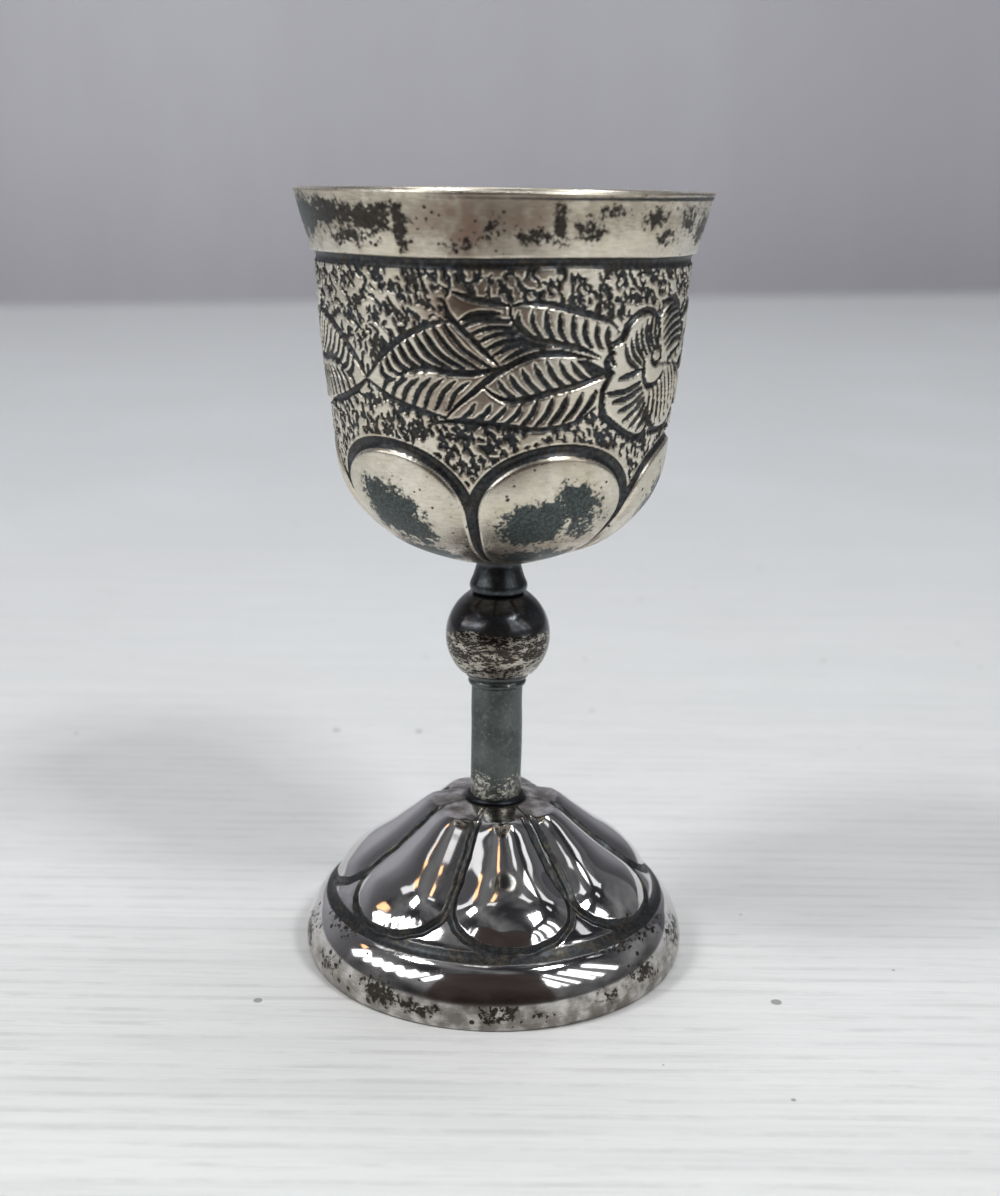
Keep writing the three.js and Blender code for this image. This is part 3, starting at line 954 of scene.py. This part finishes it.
def silver(name, rough=0.2, grain=1.0, cloud=0.5, dull_rough=0.42, streak=1.0, dots=1600,
           film_dark=OXIDE, film_light=OXIDE_GREY, film_brown=OXIDE_BROWN,
           tints=(SILVER, SILVER_WARM), film_tint=FILM, stain_and_shade_tint=STAIN_AND_REFLECTION):
    """Old polished silver: warm tint, tarnish spots where the mesh says, oxide in the cuts.

    cloud is how uneven the polish is; streak flattens the spots when it is above 1.
    """
    n = new_material(name)
    flat = (1, 1, streak)
    slow = n.noise(160, 4, 0.6, seed=1.0)
    fine = n.noise(1900, 6, 0.72, stretch=flat, seed=2.0)
    coarse = n.noise(560, 3, 0.5, stretch=flat, seed=5.0)
    pits = n.noise(3600, 3, 0.5, seed=3.0)
    scratch = n.noise(900, 4, 0.6, stretch=(1, 1, 5), seed=4.0)

    # tarnish: ragged patches and small round dots, more of both where the mesh says
    density = n.attribute("tarnish")
    threshold = 0.7 - 0.28 * density
    patches = n.between(0.68 * fine + 0.32 * coarse, threshold, threshold + 0.022)
    distance, red, green = n.cells(dots)
    dot = n.between(distance - 0.28 * green, 0.08, 0.03) * n.math("LESS_THAN", red, 0.55 * density)
    spots = n.math("MAXIMUM", patches, dot)
    pit = n.mix(n.between(fine, 0.5, 0.64), TARNISH_LIGHT, TARNISH)
    mottled = n.mix(n.between(pits, 0.42, 0.6), shaded(GREY_TARNISH, 0.72), shaded(GREY_TARNISH, 1.45))

    # a film that fine scratches go through, and brown stains, which on the foot and at the front of the cup
    # and knop are painted shade and painted reflection
    cloudy = 0.55 + 0.6 * n.between(coarse, 0.35, 0.65)
    halo = 0.4 * (n.between(density, 0.05, 0.8) * n.between(fine, 0.3, 0.65))
    film = n.math("ADD", halo, n.attribute("film") * cloudy, clamp=True)
    film = n.math("MULTIPLY", film, 0.82 + 0.45 * n.between(scratch, 0.42, 0.6), clamp=True)
    stain_and_painted_shade = n.attribute("stain_and_painted_shade") * n.between(coarse, 0.3, 0.62)

    oxide = n.between(n.attribute("oxide") + 0.5 * (fine - 0.5), 0.34, 0.56)
    light = n.mix(n.between(coarse, 0.42, 0.58), film_light, film_brown)
    in_cuts = n.mix(n.between(fine, 0.42, 0.62), film_dark, light)

    colour = n.mix(n.between(slow, 0.35, 0.75), *tints)
    colour = n.mix(0.85 * film, colour, film_tint)
    colour = n.mix(0.85 * stain_and_painted_shade, colour, stain_and_shade_tint)
    colour = n.mix(spots, colour, n.mix(n.attribute("grey"), pit, mottled))
    colour = n.mix(oxide, colour, in_cuts)
    dull = n.math("MAXIMUM", spots, oxide)
    polish = rough + 0.4 * cloud * (slow - 0.45) + 0.12 * film + 0.25 * rough * pits
    n.bump(0.5 * fine - 0.7 * spots + 0.35 * pits, 0.35 * grain, 0.03)
    return n.finish(colour, n.blend(dull, 1.0, 0.8), n.blend(dull, polish, dull_rough))


def oxidised(name, base, rough, bare=0.0):
    """Dull blue-grey oxidised silver, worn through to bare metal in specks."""
    n = new_material(name)
    slow = n.noise(260, 4, 0.6, seed=11.0)
    fine = n.noise(1900, 5, 0.75, seed=12.0)
    pits = n.noise(4200, 3, 0.5, seed=13.0)
    specks = n.noise(2000, 6, 0.75, stretch=(1, 1, 2.6), seed=14.0)
    dark = n.mix(n.between(slow, 0.35, 0.7), shaded(base, 0.55), base)
    dark = n.mix(0.5 * n.between(fine, 0.5, 0.62), dark, shaded(base, 1.6))
    wear = 0.5 * fine + 0.5 * specks + 0.12 * n.attribute("bare")
    blotches = n.between(wear, 0.62 - bare, 0.65 - bare)
    n.bump(fine + 0.5 * pits, 0.4, 0.03)
    return n.finish(n.mix(blotches, dark, (0.5, 0.48, 0.42)), 0.9, n.blend(blotches, rough + 0.12 * slow, 0.26))


def brass(name):
    n = new_material(name)
    slow = n.noise(300, 4, 0.6, seed=21.0)
    fine = n.noise(2400, 5, 0.6, seed=22.0)
    colour = n.mix(n.between(slow, 0.3, 0.7), (0.62, 0.48, 0.22), (0.4, 0.29, 0.13))
    colour = n.mix(n.between(fine, 0.6, 0.7), colour, (0.12, 0.09, 0.05))
    n.bump(fine, 0.3, 0.02)
    return n.finish(colour, 0.95, 0.26 + 0.2 * fine)


# ---- putting the pieces on the frame

cup_silver = silver("cup_silver")
# on the foot the stain mask carries only painted shade and reflection, in this dark tint
foot_silver = silver("foot_silver", dots=950, rough=0.055, grain=0.12, cloud=0.2,
                     film_dark=(0.028, 0.03, 0.032), film_light=(0.055, 0.06, 0.062),
                     tints=(SILVER_COOL, (0.74, 0.72, 0.7)), film_tint=(0.36, 0.33, 0.28),
                     stain_and_shade_tint=(0.115, 0.1, 0.088))
knop_silver = silver("knop_silver", rough=0.18, grain=0.35, dull_rough=0.16, streak=2.4,
                     film_dark=(0.048, 0.05, 0.056), film_light=(0.085, 0.09, 0.096),
                     film_brown=(0.085, 0.075, 0.066), film_tint=(0.3, 0.28, 0.25))
edge_silver = silver("edge_silver", rough=0.26)
tube_finish = oxidised("tube_oxide", (0.135, 0.15, 0.145), 0.36)
collar_finish = oxidised("collar_oxide", (0.085, 0.093, 0.098), 0.25, bare=0.02)
neck_finish = oxidised("neck_oxide", (0.11, 0.12, 0.12), 0.24, bare=0.05)
ring_finish = oxidised("solder_oxide", (0.03, 0.033, 0.038), 0.3, bare=-0.1)
fittings_brass = brass("aged_brass")

PIECES = [
    (cup(), "bowl", "chalice", cup_silver),
    (tie_rod(), "tie_rod", "chalice", fittings_brass),
    (stem_collar(), "stem_collar", "chalice", collar_finish),
    (knop_half("knop_upper", "knop_upper_shell", True), "knop_upper_shell", "chalice", knop_silver),
    (knop_half("knop_lower", "knop_lower_shell", False), "knop_lower_shell", "chalice", knop_silver),
    (neck_ring(), "neck_ring", "chalice", neck_finish),
    (stem_tube(), "stem_tube", "chalice", tube_finish),
    (tube_base_ring(), "tube_base_ring", "chalice", ring_finish),
    (foot(), "foot", "chalice", foot_silver),
    (edge_ring(), "foot_edge_ring", "chalice", edge_silver),
    (washer(), "foot_washer", "washer", fittings_brass),
    (nut(), "retaining_nut", "nut", fittings_brass),
]

for obj, node, body, finish in PIECES:
    obj.data.materials.append(finish)
    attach(obj, body)
    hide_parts(node)


# ---- stage, light and camera

LEFT, RIGHT, FRONT = -2.5, 3, -2
TABLE_BACK = 0.93
TABLE_SLANT = 0.36
WALL_BEHIND, WALL_LOW, WALL_HIGH = 0.2, -0.6, 3
RIB_SPACING = 2.5 * MM
CLEAR_UNDER_FOOT = float(0.92 * FOOT_R * MM)
AIM = Vector((0, 0, 0.035))
DAYLIGHT = (0.97, 0.985, 1)


def floor_paint():
    """Pale painted boards with fine brush lines, a few marks, and a shade under the camera."""
    n = new_material("floor_paint")
    grain = n.noise(11, 6, 0.7, stretch=(0.5, 22, 1), seed=31.0)
    patches = n.noise(14, 3, 0.5, seed=32.0)
    lines = n.noise(14, 5, 0.75, stretch=(5, 110, 1), seed=36.0)
    y = n.signal("ShaderNodeSeparateXYZ", "Y", {0: n.place})
    across = y + 0.004 * n.noise(9, 3, 0.5, seed=37.0)
    rib = n.between(n.math("SINE", 2 * math.pi / RIB_SPACING * across), 0.3, 0.95)
    rib = rib * n.between(n.noise(60, 5, 0.75, stretch=(1, 3, 1), seed=38.0), 0.42, 0.6)
    distance, red, green = n.cells(75, voronoi_dimensions="2D")
    crumb = n.between(distance - 0.035 * n.math("POWER", green, 3), 0.012, 0.004)
    crumb = crumb * n.math("LESS_THAN", red, 0.3)
    from_shade = n.signal("ShaderNodeVectorMath", "Value", {0: n.place, 1: (-0.02, -0.3, 0)},
                          operation="DISTANCE")
    tone = n.mix(n.between(grain, 0.3, 0.7), (0.715, 0.724, 0.712), (0.815, 0.81, 0.793))
    for amount, colour in (
            (0.42 * n.between(lines, 0.48, 0.64), (0.6, 0.595, 0.575)),
            (0.45 * rib, (0.52, 0.52, 0.5)),
            # painted shade: the boards darker towards the back, where less light falls
            (0.85 * n.between(y, -0.09, 0.32), (0.63, 0.65, 0.66)),
            (0.35 * n.between(patches, 0.4, 0.75), (0.735, 0.762, 0.765)),
            (0.75 * crumb, (0.2, 0.19, 0.18)),
            (0.95 * n.between(from_shade, 0.225, 0.13), (0.12, 0.08, 0.062))):
        tone = n.mix(amount, tone, colour)
    n.bump(grain + lines, 0.25, 0.25)

    # clear from below and inside the foot, so that the underside can be looked at
    from_axis = n.signal("ShaderNodeVectorMath", "Value", {0: n.place}, operation="LENGTH")
    under_foot = n.math("LESS_THAN", from_axis, CLEAR_UNDER_FOOT)
    backfacing = n.add("ShaderNodeNewGeometry").outputs["Backfacing"]
    two_sided = n.add("ShaderNodeMixShader", {
        0: n.math("MAXIMUM", backfacing, under_foot),
        1: n.shader().outputs[0],
        2: n.add("ShaderNodeBsdfTransparent").outputs[0]})
    n.feed(n.shader("Material Output").inputs[0], two_sided.outputs[0])
    return n.finish(tone, 0.0, 0.4)


def wall_paint():
    n = new_material("backdrop_paint")
    folds = n.noise(2.2, 3, 0.5, stretch=(2.2, 1, 0.25), seed=34.0)
    weave = n.noise(40, 4, 0.6, stretch=(1, 1, 0.3), seed=35.0)
    tone = n.mix(folds, (0.52, 0.51, 0.545), (0.69, 0.685, 0.73))
    return n.finish(n.mix(0.25 * n.between(weave, 0.35, 0.65), tone, (0.56, 0.55, 0.58)), 0.0, 0.85)


def cloth():
    n = new_material("cloth")
    grain = n.noise(9, 5, 0.6, stretch=(0.6, 16, 1), seed=31.0)
    dark = (0.1, 0.072, 0.064)
    return n.finish(n.mix(n.between(grain, 0.2, 0.8), shaded(dark, 0.5), dark), 0.0, 0.9)


def sheet(name, corners, material):
    mesh = bpy.data.meshes.new(name)
    mesh.from_pydata(corners, [], [(0, 1, 2, 3)])
    mesh.materials.append(material)
    link(name, mesh)


def table_edge(x, beyond=0.0):
    return TABLE_BACK + TABLE_SLANT * x + beyond


sheet("floor", [(LEFT, FRONT, 0), (RIGHT, FRONT, 0), (RIGHT, table_edge(RIGHT), 0),
                (LEFT, table_edge(LEFT), 0)], floor_paint())
sheet("backdrop", [(x, table_edge(x, WALL_BEHIND), z) for x, z in (
    (LEFT, WALL_LOW), (RIGHT, WALL_LOW), (RIGHT, WALL_HIGH), (LEFT, WALL_HIGH))], wall_paint())
sheet("dark_cloth", [(-0.3, -0.36, 0), (0.26, -0.36, 0), (0.2, -0.34, 0.34), (-0.22, -0.34, 0.34)], cloth())


def facing(place, aim):
    return (aim - place).to_track_quat("-Z", "Y")


def softbox(name, place, width, height, power, colour=DAYLIGHT, aim=AIM):
    data = bpy.data.lights.new(name, "AREA")
    data.shape = "RECTANGLE"
    data.size, data.size_y = width, height
    data.energy = power
    data.color = colour
    obj = link(name, data)
    obj.location = place
    obj.rotation_euler = facing(place, aim).to_euler()
    return obj


def window(name, place, width, height, power, across=3, down=2):
    """A softbox split into panes, so that its reflection has glazing bars."""
    place = Vector(place)
    wide, tall = width / across, height / down
    for i in range(across):
        for j in range(down):
            offset = Vector(((i + 0.5) * wide - width / 2, (j + 0.5) * tall - height / 2, 0))
            softbox(f"{name}_{i}{j}", place + facing(place, AIM) @ offset, 0.76 * wide, 0.8 * tall,
                    power / (across * down))


def panel(name, azimuth, elevation, wide, tall, radiance, colour=DAYLIGHT, lean=0.0):
    """A softbox a metre away, given by where it stands and how wide it looks, in degrees."""
    turn, lift, width, height = [math.radians(angle) for angle in (azimuth, elevation, wide, tall)]
    place = Vector((math.sin(turn) * math.cos(lift), -math.cos(turn) * math.cos(lift), math.sin(lift)))
    obj = softbox(name, place, width, height, radiance * math.pi * width * height, colour)
    obj.rotation_euler.rotate_axis("Z", math.radians(lean))


# two windows throw the soft shadows; the wall has a light of its own
window("right_window", (0.5, -0.5, 0.87), 0.25, 0.2, 4.85)
window("left_window", (-0.62, -0.26, 0.88), 0.22, 0.25, 4.45)
softbox("back_fill", Vector((0.3, 0.3, 1.5)), 0.9, 0.4, 8.2, (0.97, 0.98, 1), Vector((0.38, 1.05, 0.16)))

# bands of window panes on both sides, dim skylights and warm lamps, which show in the polished foot
BAND_PANES = 7
for i in range(BAND_PANES):
    panel(f"right_band_{i}", 22 + 8 * i + RNG.uniform(-2, 2), 32 - i,
          RNG.uniform(1.2, 3.4), 26, 3.2, lean=38)
for i in range(BAND_PANES):
    panel(f"left_band_{i}", -40 - 8 * i + RNG.uniform(-2, 2), 31 - 1.8 * i,
          RNG.uniform(2.5, 5.5), 14, 4.4, lean=-38)
for azimuth, elevation, wide, tall in ((-97, 51, 6, 14), (107, 49, 6, 15), (-24, 73, 10, 4), (62, 70, 6, 8),
                                       (84, 46, 4, 8)):
    panel(f"skylight_{azimuth}", azimuth, elevation, wide, tall, 1.0)
for azimuth, elevation in ((-36, 79), (-92, 27), (-100, 60)):
    panel(f"warm_lamp_{azimuth}", azimuth, elevation, 4, 5, 2, (1, 0.56, 0.27))


def dim_room():
    """The room that the silver reflects: darker behind the camera, with lighter corners."""
    n = Nodes(bpy.data.worlds.new("studio"), "Generated")
    direction = n.add("ShaderNodeSeparateXYZ", {0: n.place}).outputs
    away = 0.5 + 0.5 * Signal(n, direction["Y"])
    tone = n.mix(n.between(away, 0.55, 0.95, shape="LINEAR"), (0.028, 0.028, 0.033), (0.24, 0.245, 0.26))
    corners = n.signal("ShaderNodeTexNoise", "Fac", {"Vector": n.place, "Scale": 2.1, "Detail": 3})
    tone = n.mix(1, tone, n.between(corners, 0.42, 0.7, 0.2, "LINEAR"), blend_type="ADD")
    # light from under the table reaches only what is seen from below
    downward = n.between(direction["Z"], -0.3, -0.6, shape="LINEAR")
    n.feed(n.shader("Background").inputs["Color"], n.mix(downward, tone, (0.22, 0.22, 0.23)))
    n.feed(n.shader("Background").inputs["Strength"], 1.0)
    return n.owner


bpy.context.scene.world = dim_room()

CAMERA_ACROSS = 0.17 * MM
CAMERA_DISTANCE = 159.1 * MM
CAMERA_HEIGHT = 81.3 * MM
CAMERA_PITCH = math.radians(14.97)
CAMERA_ROLL = math.radians(0.835)
FOCAL_LENGTH = 47.6
FOCUS_DISTANCE = 158 * MM

camera_data = bpy.data.cameras.new("camera")
camera_data.sensor_fit = "VERTICAL"
camera_data.sensor_height = 36
camera_data.lens = FOCAL_LENGTH
camera_data.clip_start = 0.01
camera_data.dof.use_dof = True
camera_data.dof.focus_distance = FOCUS_DISTANCE
camera_data.dof.aperture_fstop = 28
camera = link("camera", camera_data)
camera.matrix_world = (Matrix.Translation((CAMERA_ACROSS, -CAMERA_DISTANCE, CAMERA_HEIGHT))
                       @ Matrix.Rotation(math.pi / 2 - CAMERA_PITCH, 4, "X")
                       @ Matrix.Rotation(CAMERA_ROLL, 4, "Z"))
bpy.context.scene.camera = camera
bpy.context.scene.view_settings.view_transform = "Standard"
